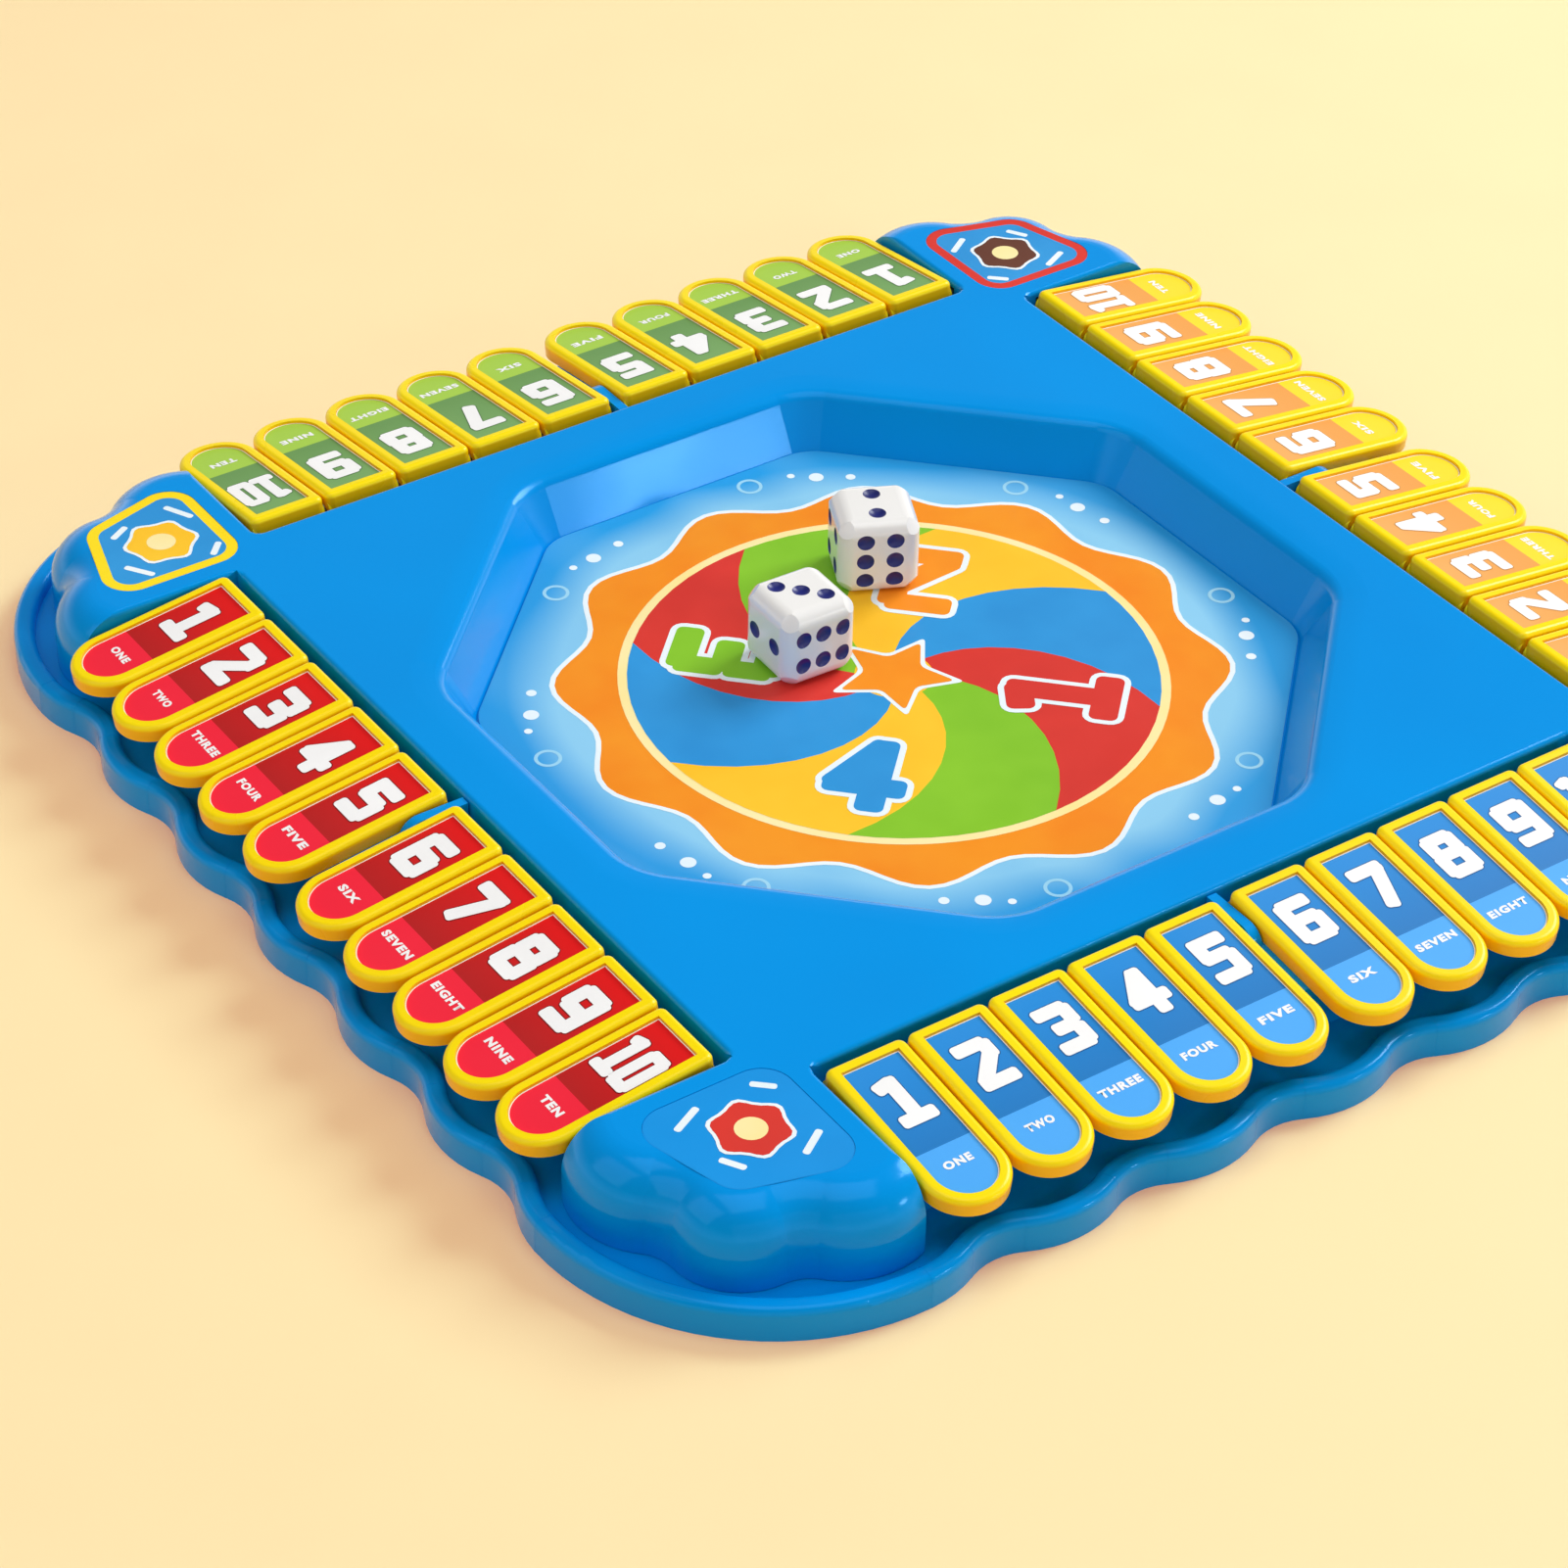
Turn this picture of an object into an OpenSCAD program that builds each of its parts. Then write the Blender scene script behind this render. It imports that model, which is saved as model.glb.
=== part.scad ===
// Shut the box game for four players: a square blue tray with a dice pit in the middle,
// a row of ten numbered flip tiles on each side, lobed corner pods and a scalloped flange.
// Origin at the middle of the underside, +Z up, the blue row at -Y.

/* [Rows] */
// Distance from one tile to the next
pitch = 16.5; // [15.5:0.1:17.5]
// Gap between neighbouring tiles
tile_gap = 0.6; // [0.4:0.1:1]
// Extra room for the rib between tiles 5 and 6
mid_gap = 2.4; // [2.2:0.1:3.4]
// Gap between the end tiles and the corner pods
side_gap = 0.5; // [0.4:0.1:1]

/* [Flip tiles] */
// Thickness of the tile
tile_t = 3.2; // [2.8:0.1:3.4]
// Length from the hinge axis to the rounded tip
tile_reach = 34; // [30:0.5:38]
// Length behind the hinge axis
tile_tail = 2.5; // [2.2:0.1:2.8]
// Height of the tile's top over the hinge axis
tile_rise = 3.6; // [3.4:0.1:3.8]
// Width of the raised rim
rim_w = 2.15; // [1.6:0.05:2.6]
// Radius of the rim's outer edge
rim_r = 1.1; // [0.6:0.1:1.4]
// Depth of the printed face under the rim
face_depth = 0.6; // [0.3:0.1:0.8]
// Slope of a tile at rest, outer end down
tile_tilt = 7.2; // [5:0.1:9]

/* [Hinge] */
// Diameter of the hinge rod
rod_d = 2; // [1.6:0.1:2.2]
// Radius of the knuckle under the tile
knuckle_r = 2.4; // [2.2:0.1:2.6]
// Running clearance of the rod in the knuckle, on the radius
rod_play = 0.1; // [0.05:0.01:0.15]
// Depth of the hinge axis under the deck
pin_drop = 3; // [2.9:0.1:3.4]
// Distance from the edge of the deck to the hinge axis
pin_gap = 4.8; // [4.8:0.1:5.4]
// Thickness of the rib between tiles 5 and 6
rib_t = 2; // [1.6:0.1:2]

/* [Deck] */
// Height of the deck over the table
deck_z = 19.5; // [18:0.5:24]
// Width of the deck at the corners, past the ends of the rows
corner_land = 9; // [8:0.5:11]
// Thickness of the top skin
skin = 1.8; // [1.5:0.1:1.8]
// Thickness of the side walls
wall = 2; // [1.6:0.1:2.2]
// Radius of the deck's edge along the rows
edge_r = 1; // [0.6:0.1:1.2]

/* [Dice pit] */
// Flat width between the rim of the pit and the rows
pit_land = 7.4; // [6.5:0.1:9]
// How far the rounded rim and the sloping wall reach in
rim_run = 12; // [11.5:0.1:13]
// Where the wide round of the rim turns into its tight edge, from level
rim_fall = 10; // [8:0.5:12]
// Radius of the rim's tight edge
rim_edge_r = 3.2; // [2.8:0.1:4]
// Depth of the pit
pit_depth = 10.9; // [9:0.1:12]
// Slope of the pit wall from upright
pit_draft = 30; // [26:1:32]
// Radius of the pit's corners at the floor
pit_corner_r = 10; // [6:0.5:14]
// Thickness of the printed insert
insert_t = 0.5; // [0.4:0.1:0.8]

/* [Corner pods] */
// Radius of the lobe beside each row
side_lobe_r = 16; // [14:0.5:17]
// Radius of the lobe at the corner
mid_lobe_r = 13.2; // [12:0.2:14]
// Radius of the hollow between two lobes
blend_r = 8; // [6:0.5:10]
// Radius of the pod's top edge
pod_edge_r = 8.5; // [6:0.5:9]
// Corner radius of the badge
badge_r = 5.8; // [4:0.2:6.4]

/* [Flange] */
// Distance from a tile's tip to the outer edge of the flange
flange_over = 2.3; // [2:0.1:5]
// Scallops on each side
wave_n = 5; // [4:1:6]
// Depth of the scallops
wave_depth = 3.4; // [2:0.2:4]
// Radius of the hollow between two scallops
valley_r = 12; // [10:0.5:14]
// Radius of the corner lobe
corner_r = 46; // [42:1:50]
// Radius of the shoulder where the corner lobe meets the scallops
shoulder_r = 22; // [18:1:26]
// Width of the raised lip
lip_w = 4; // [3.6:0.1:5]
// Height of the lip over the table
lip_z = 6.6; // [6:0.2:8]
// Radius of the lip's top edges
lip_r = 1.5; // [0.8:0.1:1.7]
// Height of the trough floor over the table
floor_z = 4; // [3.8:0.1:4.6]

/* [Dice] */
// Side of a die
die_w = 16; // [14:0.5:18]
// Radius of a die's edges
die_r = 3.2; // [2:0.1:4]
// Diameter of a pip
pip_d = 3.4; // [2.6:0.1:3.8]

/* [Hidden] */
$fn = 64;
eps = 0.01;
row_names = ["blue", "orange", "green", "red"];
tiles_per_row = 10;

// Clearances
seat_gap = 0.15;
rest_gap = 0.1;
part_gap = 0.3;
fit_gap = 0.05;

// Row layout, x outward and y along the row
tile_w = pitch - tile_gap;
row_half = tiles_per_row / 2 * pitch + mid_gap / 2;
slot_half = row_half + side_gap;
slot_corner_r = 2;
deck_half = slot_half + corner_land;
pin_v = deck_half + pin_gap;
pin_z = deck_z - pin_drop;
tile_base = tile_rise - tile_t;
end_x = tile_reach - tile_w / 2;
tip_v = pin_v + tile_reach * cos(tile_tilt);
face_w = tile_w - 2 * rim_w;
pocket_w = 1.7;
pocket_depth = 1.2;
pocket_rib = 1.4;
tile_corner_r = 1.6;
knuckle_w = tile_w - 0.4;

// Shelf under the tiles and the trench round the hinge
floor_t = 2;
shelf_in = pin_v + knuckle_r + 0.8;
shelf_out = pin_v + 0.6 * tile_reach;
trench_z = pin_z - tile_rise - 0.9;
block_in = deck_half - wall - 2.6;
block_half = slot_half - part_gap;
bay_web = 1.8;
bays = 4;
rib_out = pin_v + 8.4;
rib_z = deck_z - 0.9;
rib_r = 4;
post_t = 3;
post_w = 6;
post_at = slot_half + wall + 0.4;

// Dice pit
pit_floor = deck_z - pit_depth;
rim_end = deck_half - pit_land;
pit_half = rim_end - rim_run;
pit_core = pit_half - pit_corner_r;
pit_slip = 0.06;
edge_run = rim_edge_r * (cos(pit_draft) - sin(rim_fall));
edge_drop = rim_edge_r * (cos(rim_fall) - sin(pit_draft));
slope_run = (pit_depth - edge_drop) * tan(pit_draft);
rim_arc_r = (rim_run - edge_run - slope_run) / (sin(rim_fall) - (1 - cos(rim_fall)) * tan(pit_draft));

// Corner pods, first quadrant
pod_z = floor_z + seat_gap;
side_lobe = [slot_half + 0.36 * side_lobe_r, deck_half + 1.14 * side_lobe_r];
mid_lobe = (deck_half + 1.03 * mid_lobe_r) * [1, 1];
twin_lobe = [side_lobe.y, side_lobe.x];
web_slip = 0.03;
badge_in = deck_half + 0.1 * corner_land;
badge_side = badge_in + 2.81 * badge_r;
badge_out = badge_in + 2.19 * badge_r;
badge_ring = [[badge_in, badge_in], [badge_side, badge_in], [badge_out, badge_out], [badge_in, badge_side]];
badge_t = 0.3;
badge_sink = 0.4;
boss_r = 3.5;
boss_spots = [deck_half + 1.66 * boss_r, deck_half - 4.34 * boss_r];
screw_d = 2.9;
screw_head_d = 6;
screw_head_h = 1.6;
screw_reach = 9;

// Flange outline, x outward and y along the side
flange_half = tip_v + flange_over;
corner_c = flange_half - corner_r;
end_run = sqrt(pow(valley_r + shoulder_r, 2) - pow(valley_r + shoulder_r - wave_depth, 2));
wave_len = 2 * (corner_c - end_run) / wave_n;
wave_sum = (pow(wave_len / 2, 2) + pow(wave_depth, 2)) / (2 * wave_depth);
bump_r = wave_sum - valley_r;
wave_a = asin(wave_len / 2 / wave_sum);
end_a = asin(end_run / (valley_r + shoulder_r));
skirt_t = 2;
floor_inset = 3;
tie_t = 0.4;
tie_g = 0.02;

// Dice
pip_depth = 0.6;
pip_sphere = (pow(pip_d / 2, 2) + pow(pip_depth, 2)) / (2 * pip_depth);
six_long = 0.276 * die_w;
six_wide = 0.18 * die_w;
pip_out = 0.21 * die_w;
die_soft = 0.7 * die_w;
near_spot = [-12.2, 13.6, -1.9];
far_spot = [16.3, 30.1, -25.5];

// Middle of tile n along its row
function tile_u(n) = (n - (tiles_per_row + 1) / 2) * pitch + (n > tiles_per_row / 2 ? 1 : -1) * mid_gap / 2;

// Height of the shelf at distance v from the middle
function shelf_z(v) = pin_z + (tile_base - rest_gap) / cos(tile_tilt) - (v - pin_v) * tan(tile_tilt);

// A point turned about the origin
function turned(p, a) = [p.x * cos(a) - p.y * sin(a), p.x * sin(a) + p.y * cos(a)];

// Middle of the circle that blends two lobes from outside, on the left of the way from p to q
function blend_c(p, rp, q, rq, r) =
    let (
        d = norm(q - p),
        along = (pow(rp + r, 2) - pow(rq + r, 2) + d * d) / (2 * d),
        off = sqrt(pow(rp + r, 2) - along * along),
        dir = (q - p) / d
    )
    p + along * dir + off * [-dir.y, dir.x];

// Unit normal to the right of the way from p to q
function right_of(p, q) = [q.y - p.y, p.x - q.x] / norm(q - p);

// Places something in row k, with x outward and y along the row
module in_row(k) {
    rotate([0, 0, 90 * k - 90]) children();
}

// What a corner loses when it is rounded by e about the origin
module corner_waste(e) {
    difference() {
        square(e + 1);
        circle(e);
    }
}

// Half section of a rounded puck: r wide, h high, the outer top edge rounded by e
module half_section(r, h, e) {
    difference() {
        square([r, h]);
        translate([r - e, h - e]) corner_waste(e);
    }
}

// Section of the cut that rounds an edge by e, from the wall at x = 0
module edge_cut(e) {
    difference() {
        square([e, e + 1]);
        translate([e, 0]) circle(e);
    }
}

// Polygon given by the middles of its corner circles, counter-clockwise
module rounded_polygon(middles, r) {
    count = len(middles);
    polygon([
        for (i = [0:count - 1])
            let (
                here = middles[i],
                before = middles[(i + count - 1) % count],
                after = middles[(i + 1) % count]
            )
            each [here + r * right_of(before, here), here + r * right_of(here, after)]
    ]);
    for (m = middles) translate(m) circle(r);
}

// Rounded bar across the tile: a plate with its outer top edge rounded
module tile_plate() {
    half = tile_w / 2;
    inner = half - tile_corner_r;
    translate([tile_corner_r - tile_tail, 0, 0]) {
        for (side = [0, 1]) {
            mirror([0, side, 0]) {
                rotate([90, 0, 90]) {
                    linear_extrude(end_x + tile_tail - tile_corner_r) half_section(half, tile_t, rim_r);
                }
            }
        }
        translate([0, -inner, 0]) {
            rotate([90, 0, 180]) linear_extrude(2 * inner) half_section(tile_corner_r, tile_t, rim_r);
        }
        for (side = [0, 1]) {
            mirror([0, side, 0]) {
                translate([0, inner, 0]) {
                    rotate([0, 0, 90]) {
                        rotate_extrude(angle = 90) half_section(tile_corner_r, tile_t, rim_r);
                    }
                }
            }
        }
    }
    translate([end_x, 0, 0]) {
        rotate([0, 0, -90]) rotate_extrude(angle = 180) half_section(half, tile_t, rim_r);
    }
}

// Outline with a straight start at x0 and a round end about end_x
module tongue(x0, half) {
    translate([x0, -half]) square([end_x - x0, 2 * half]);
    translate([end_x, 0]) {
        intersection() {
            circle(half);
            translate([0, -half]) square([half, 2 * half]);
        }
    }
}

// One flip tile about its hinge axis, x outward
module flip_tile() {
    difference() {
        union() {
            translate([0, 0, tile_base]) tile_plate();
            rotate([90, 0, 0]) cylinder(r = knuckle_r, h = knuckle_w, center = true);
        }
        rotate([90, 0, 0]) cylinder(r = rod_d / 2 + rod_play, h = tile_w + 1, center = true);
        translate([0, 0, tile_rise - face_depth]) {
            linear_extrude(face_depth + 1) tongue(rim_w - tile_tail, face_w / 2);
        }
        translate([0, 0, tile_base - 1]) {
            linear_extrude(pocket_depth + 1) {
                difference() {
                    tongue(knuckle_r + pocket_w, tile_w / 2 - pocket_w);
                    translate([0, -pocket_rib / 2]) square([tile_reach, pocket_rib]);
                }
            }
        }
    }
}

module row_tile(k, n) {
    color("yellow") {
        in_row(k) {
            translate([pin_v, tile_u(n), pin_z]) rotate([0, tile_tilt, 0]) flip_tile();
        }
    }
}

module hinge_rod(k) {
    color("silver") {
        in_row(k) {
            translate([pin_v, 0, pin_z]) {
                rotate([90, 0, 0]) cylinder(d = rod_d, h = 2 * (post_at + post_t), center = true);
            }
        }
    }
}

// Section of the lip and skirt, x inward from the outer edge, grown by g
module lip_section(g) {
    low = floor_z - floor_t - g;
    top = lip_z + g;
    inside = lip_w + g;
    difference() {
        polygon([[-g, -g], [skirt_t + g, -g], [skirt_t + g, low], [inside, low], [inside, top], [-g, top]]);
        translate([inside - lip_r, top - lip_r]) corner_waste(lip_r);
        translate([lip_r - g, top - lip_r]) mirror([1, 0]) corner_waste(lip_r);
    }
}

// Stretch of lip that curves outward, from angle a0 to a1 about c
module lip_out(c, r, a0, a1) {
    translate(c) {
        rotate([0, 0, a0]) {
            rotate_extrude(angle = a1 - a0) translate([r, 0]) mirror([1, 0]) lip_section(0);
        }
    }
}

// Stretch of lip that curves inward, from angle a0 to a1 about c
module lip_in(c, r, a0, a1) {
    translate(c) {
        rotate([0, 0, a0]) rotate_extrude(angle = a1 - a0) translate([r, 0]) lip_section(0);
    }
}

// Thin slice of slightly larger lip that ties two stretches together at angle a about c
module lip_tie(c, r, a) {
    translate([c.x, c.y, tie_g]) {
        rotate([0, 0, a]) {
            translate([r, 0, 0]) {
                rotate([90, 0, 0]) {
                    linear_extrude(tie_t, center = true) mirror([1, 0]) lip_section(tie_g);
                }
            }
        }
    }
}

// Lip along one side and round one corner
module lip_side() {
    for (i = [0:wave_n - 1]) {
        bump_c = [flange_half - bump_r, (i - (wave_n - 1) / 2) * wave_len];
        lip_out(bump_c, bump_r, -wave_a, wave_a);
        for (s = [-1, 1]) lip_tie(bump_c, bump_r, s * wave_a);
    }
    for (j = [0:wave_n]) {
        lip_in(
            [flange_half - wave_depth + valley_r, (j - wave_n / 2) * wave_len],
            valley_r,
            180 - (j == wave_n ? end_a : wave_a),
            180 + (j == 0 ? end_a : wave_a)
        );
    }
    for (s = [-1, 1]) {
        shoulder_c = [flange_half - shoulder_r, s * corner_c];
        lip_out(shoulder_c, shoulder_r, min(-s * end_a, 0), max(-s * end_a, 0));
        for (a = [0, -s * end_a]) lip_tie(shoulder_c, shoulder_r, a);
    }
    lip_out([corner_c, corner_c], corner_r, 0, 90);
}

// Floor of the trough, its edge buried in the lip
module floor_plate() {
    corner_step = 15;
    side = concat(
        [
            for (i = [0:2 * wave_n])
                [
                    flange_half - floor_inset - (i % 2 == 0 ? wave_depth : 0),
                    (i - wave_n) * wave_len / 2
                ]
        ],
        [
            for (a = [0:corner_step:90])
                [corner_c, corner_c] + (corner_r - floor_inset) * [cos(a), sin(a)]
        ]
    );
    translate([0, 0, floor_z - floor_t]) {
        linear_extrude(floor_t) {
            polygon([for (k = [0:3]) for (p = side) turned(p, 90 * k)]);
        }
    }
}

// Raised block along one row: the sloping shelf, and the trench that the knuckles turn in
module row_block() {
    rotate([90, 0, 0]) {
        linear_extrude(2 * block_half, center = true) {
            polygon([
                [shelf_out, floor_z - 1],
                [shelf_out, shelf_z(shelf_out)],
                [shelf_in, shelf_z(shelf_in)],
                [shelf_in, trench_z],
                [block_in, trench_z],
                [block_in, floor_z - 1]
            ]);
        }
    }
}

// Hollows under a row block, parted by webs
module row_bays() {
    bay_len = (2 * block_half - (bays + 1) * bay_web) / bays;
    for (i = [0:bays - 1]) {
        translate([0, (i - (bays - 1) / 2) * (bay_len + bay_web), 0]) {
            rotate([90, 0, 0]) {
                linear_extrude(bay_len, center = true) {
                    polygon([
                        [shelf_out - wall, 0],
                        [shelf_out - wall, shelf_z(shelf_out - wall) - wall],
                        [shelf_in + wall, shelf_z(shelf_in + wall) - wall],
                        [shelf_in + wall, trench_z - wall],
                        [block_in + wall, trench_z - wall],
                        [block_in + wall, 0]
                    ]);
                }
            }
        }
    }
}

// Rib between tiles 5 and 6, with the hole that steadies the rod
module mid_rib() {
    difference() {
        translate([deck_half + part_gap, rib_t / 2, trench_z - 1]) {
            rotate([90, 0, 0]) {
                linear_extrude(rib_t) half_section(rib_out - deck_half, rib_z - trench_z + 1, rib_r);
            }
        }
        translate([pin_v, 0, pin_z]) {
            rotate([90, 0, 0]) cylinder(d = rod_d + 2 * fit_gap, h = rib_t + 1, center = true);
        }
    }
}

// Post inside a pod with the open saddle that one end of the rod lies in
module rod_post() {
    saddle_d = rod_d + 2 * fit_gap;
    difference() {
        translate([pin_v - post_w / 2, post_at, floor_z - 1]) {
            cube([post_w, post_t, pin_z + rod_d / 2 - floor_z + 1]);
        }
        translate([pin_v, post_at - 1, pin_z]) {
            rotate([-90, 0, 0]) cylinder(d = saddle_d, h = post_t + 2);
            translate([-saddle_d / 2, 0, 0]) cube([saddle_d, post_t + 2, rod_d]);
        }
    }
}

// Places something at every screw
module at_screws() {
    for (k = [0:3]) {
        rotate([0, 0, 90 * k]) {
            for (s = boss_spots) translate([s, s, 0]) children();
        }
    }
}

module base() {
    color("dodgerblue") {
        difference() {
            union() {
                for (k = [0:3]) {
                    in_row(k) {
                        lip_side();
                        row_block();
                        mid_rib();
                        rod_post();
                        mirror([0, 1, 0]) rod_post();
                    }
                }
                floor_plate();
            }
            for (k = [0:3]) in_row(k) row_bays();
            at_screws() cylinder(d = screw_d + 2 * fit_gap, h = 2 * floor_z, center = true);
        }
    }
}

// Half section of the pit out to its rim, grown by t and run deeper by more
module pit_section(rim, t, top, more = 0) {
    low = pit_floor - t - more;
    foot = rim - rim_run + t / cos(pit_draft) - (t + more) * tan(pit_draft);
    tilt = [-sin(rim_fall), cos(rim_fall)];
    arc_c = [rim, deck_z - rim_arc_r];
    edge_c = arc_c + (rim_arc_r - rim_edge_r) * tilt;
    tight_r = rim_edge_r - t;
    join = edge_c + tight_r * tilt;
    slope_end = edge_c + (tight_r - eps) * [-cos(pit_draft), sin(pit_draft)];
    difference() {
        polygon([[0, low], [foot, low], slope_end, edge_c, [rim, edge_c.y], [rim, top], [0, top]]);
        translate(edge_c) circle(tight_r);
        intersection() {
            translate(arc_c) circle(rim_arc_r - t);
            translate([join.x, edge_c.y - 1]) square([rim - join.x + 1, rim_edge_r + 2]);
        }
    }
}

// What one corner of the pit loses when it is turned off round, a hair outside the flat walls
module pit_corner_waste(t, top) {
    corner = pit_core / cos(22.5);
    rim = pit_corner_r + rim_run + pit_slip;
    translate([corner, 0, 0]) {
        rotate([0, 0, -22.5]) {
            rotate_extrude(angle = 45) {
                difference() {
                    translate([eps, pit_floor - t - 1]) square([rim + 4, top - pit_floor + t + 2]);
                    pit_section(rim, t, top + 2, 2);
                }
            }
        }
    }
}

// The eight-sided pit as a solid, grown by t: four troughs crossed, the corners turned off round
module pit_form(t, top) {
    difference() {
        intersection_for (i = [0:3]) {
            rotate([90, 0, 45 * i]) {
                linear_extrude(3 * deck_half, center = true) {
                    pit_section(rim_end, t, top);
                    mirror([1, 0]) pit_section(rim_end, t, top);
                }
            }
        }
        for (i = [0:7]) rotate([0, 0, 45 * i + 22.5]) pit_corner_waste(t, top);
    }
}

// Rounded puck for one lobe of a pod
module lobe(c, r) {
    translate([c.x, c.y, pod_z]) rotate_extrude() half_section(r, deck_z - pod_z, pod_edge_r);
}

// Web between two lobes with a hollow in front; a hair inside them, and reaching into the pod, it joins cleanly
module lobe_blend(p, rp, q, rq) {
    c = blend_c(p, rp, q, rq, blend_r);
    r = blend_r + web_slip;
    h = deck_z - pod_z - web_slip;
    translate([0, 0, pod_z]) {
        difference() {
            linear_extrude(h) polygon([p, deck_half * [1, 1], q, c]);
            translate([c.x, c.y, 0]) {
                rotate_extrude() {
                    difference() {
                        translate([0, -1]) square([r + pod_edge_r, h + 2]);
                        translate([r, -2]) square([pod_edge_r + 1, h + 2 - pod_edge_r]);
                        translate([r + pod_edge_r, h - pod_edge_r]) circle(pod_edge_r);
                    }
                }
            }
        }
    }
}

// One corner pod, solid
module pod() {
    lobe(side_lobe, side_lobe_r);
    lobe(mid_lobe, mid_lobe_r);
    lobe(twin_lobe, side_lobe_r);
    lobe_blend(mid_lobe, mid_lobe_r, twin_lobe, side_lobe_r);
    lobe_blend(side_lobe, side_lobe_r, mid_lobe, mid_lobe_r);
    translate([0, 0, pod_z]) {
        linear_extrude(deck_z - pod_z) {
            polygon([
                [slot_half, slot_half],
                [side_lobe.y, slot_half],
                twin_lobe,
                mid_lobe,
                side_lobe,
                [slot_half, side_lobe.y]
            ]);
        }
    }
}

// Hollow of one lobe, as deep as the skin allows
module lobe_hollow(c, r) {
    translate([c.x, c.y, 0]) rotate_extrude() half_section(r - wall, deck_z - skin, pod_edge_r - wall);
}

// Hollow of one corner pod
module pod_hollow() {
    inside = slot_half + wall;
    intersection() {
        union() {
            lobe_hollow(side_lobe, side_lobe_r);
            lobe_hollow(mid_lobe, mid_lobe_r);
            lobe_hollow(twin_lobe, side_lobe_r);
            linear_extrude(deck_z - skin) {
                polygon([
                    [inside, inside],
                    [side_lobe.y, inside],
                    twin_lobe,
                    mid_lobe,
                    side_lobe,
                    [inside, side_lobe.y]
                ]);
            }
        }
        translate([inside, inside, 0]) cube([side_lobe.y, side_lobe.y, deck_z]);
    }
}

// Space over one row, with the deck's edge rounded round it
module row_slot() {
    reach = 60;
    side_at = slot_half - slot_corner_r;
    back_at = deck_half + slot_corner_r;
    linear_extrude(deck_z + 1) {
        translate([back_at, -slot_half]) square([reach, 2 * slot_half]);
        translate([deck_half, -side_at]) square([slot_corner_r, 2 * side_at]);
        for (s = [-1, 1]) {
            translate([back_at, s * side_at]) {
                intersection() {
                    circle(slot_corner_r);
                    translate([-slot_corner_r, s < 0 ? -slot_corner_r : 0]) square(slot_corner_r);
                }
            }
        }
    }
    translate([0, 0, deck_z - edge_r]) {
        translate([deck_half, -side_at, 0]) {
            rotate([90, 0, 180]) linear_extrude(2 * side_at) edge_cut(edge_r);
        }
        for (s = [0, 1]) {
            mirror([0, s, 0]) {
                translate([back_at, slot_half, 0]) {
                    rotate([90, 0, 90]) linear_extrude(reach) edge_cut(edge_r);
                }
                translate([back_at, side_at, 0]) {
                    rotate([0, 0, 90]) {
                        rotate_extrude(angle = 90) translate([slot_corner_r, 0]) edge_cut(edge_r);
                    }
                }
            }
        }
    }
}

// Notches in the pod walls that the ends of one rod pass through
module rod_notches() {
    notch = rod_d + 1;
    for (s = [-1, 1]) {
        translate([pin_v - notch / 2, s * (slot_half + wall / 2) - wall, 0]) {
            cube([notch, 2 * wall, pin_z + notch / 2]);
        }
    }
}

module badge_outline(inset) {
    rounded_polygon(badge_ring, badge_r - inset);
}

module deck() {
    skirt_z = trench_z + seat_gap;
    inner = deck_half - wall;
    color("dodgerblue") {
        difference() {
            union() {
                difference() {
                    union() {
                        translate([-deck_half, -deck_half, skirt_z]) {
                            cube([2 * deck_half, 2 * deck_half, deck_z - skirt_z]);
                        }
                        for (k = [0:3]) rotate([0, 0, 90 * k]) pod();
                    }
                    translate([-inner, -inner, 0]) cube([2 * inner, 2 * inner, deck_z - skin]);
                    for (k = [0:3]) rotate([0, 0, 90 * k]) pod_hollow();
                    for (k = [0:3]) in_row(k) row_slot();
                    for (k = [0:3]) in_row(k) rod_notches();
                }
                pit_form(wall, deck_z - skin / 2);
                at_screws() translate([0, 0, pod_z]) cylinder(r = boss_r, h = deck_z - skin / 2 - pod_z);
            }
            pit_form(0, deck_z + 1);
            at_screws() translate([0, 0, floor_z]) cylinder(d = screw_d, h = screw_reach + 1);
            for (k = [0:3]) {
                rotate([0, 0, 90 * k]) {
                    translate([0, 0, deck_z - badge_sink]) linear_extrude(badge_sink + 1) badge_outline(0);
                }
            }
        }
    }
}

module badge(k, shade) {
    color(shade) {
        rotate([0, 0, 90 * k]) {
            translate([0, 0, deck_z - badge_sink]) linear_extrude(badge_t) badge_outline(fit_gap);
        }
    }
}

module pit_insert() {
    corner = pit_core / cos(22.5);
    color("skyblue") {
        translate([0, 0, pit_floor]) {
            linear_extrude(insert_t) {
                rounded_polygon(
                    [for (i = [0:7]) corner * [cos(45 * i + 22.5), sin(45 * i + 22.5)]],
                    pit_corner_r - part_gap
                );
            }
        }
    }
}

module screws() {
    color("silver") {
        at_screws() {
            translate([0, 0, floor_z - floor_t - screw_head_h]) cylinder(d = screw_head_d, h = screw_head_h);
            translate([0, 0, floor_z - floor_t - eps]) cylinder(d = screw_d, h = floor_t + screw_reach);
        }
    }
}

// One pip sunk into the face at z = half a die
module pip(x, y) {
    translate([x, y, die_w / 2 - pip_depth + pip_sphere]) sphere(pip_sphere);
}

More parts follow.
